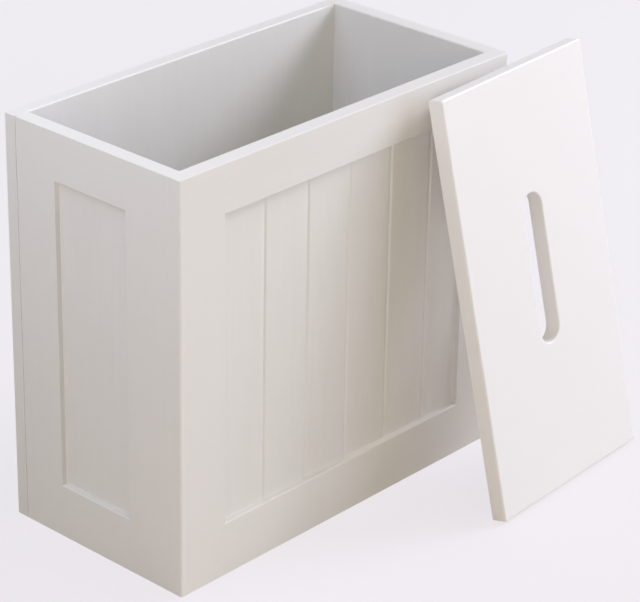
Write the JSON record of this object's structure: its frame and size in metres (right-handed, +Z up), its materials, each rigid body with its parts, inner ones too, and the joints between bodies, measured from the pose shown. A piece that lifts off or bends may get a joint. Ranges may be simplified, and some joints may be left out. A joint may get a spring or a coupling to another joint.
{
  "type": "toilet tidy storage unit",
  "caption": "White painted storage box for a bathroom, with framed sides, a grooved front panel, an open top and a loose lid with a hand slot leaning on the front.",
  "frame": {"origin": "centre of the box's underside, in the plane of the floor", "axes": "+X to the right along the box's width, +Y from the front to the back, +Z up"},
  "size_m": [0.3855, 0.2558, 0.3],
  "materials": {
    "painted_frame": "white satin paint",
    "painted_panel": "white satin paint",
    "painted_lid": "white satin paint",
    "bare_wood": "bare, fluted dowel wood",
    "screw_steel": "bright zinc plate"
  },
  "bodies": {
    "box": {"front_left_stile": "painted_frame", "front_right_stile": "painted_frame", "front_top_rail": "painted_frame", "front_bottom_rail": "painted_frame", "front_panel": "painted_panel", "left_front_stile": "painted_frame", "left_back_stile": "painted_frame", "left_top_rail": "painted_frame", "left_bottom_rail": "painted_frame", "left_panel": "painted_panel", "right_front_stile": "painted_frame", "right_back_stile": "painted_frame", "right_top_rail": "painted_frame", "right_bottom_rail": "painted_frame", "right_panel": "painted_panel", "back_panel": "painted_panel", "base_panel": "painted_panel", "corner_dowels": "bare_wood", "base_dowels": "bare_wood", "back_screws": "screw_steel"},
    "lid": {"lid_board": "painted_lid", "lid_upper_batten": "painted_lid", "lid_lower_batten": "painted_lid", "batten_screws": "screw_steel"}
  },
  "joints": [
    {"name": "lid_lift", "type": "slide", "parent": "box", "child": "lid", "axis": [0, 0, 1], "range_m": [0, 0.32]}
  ]
}
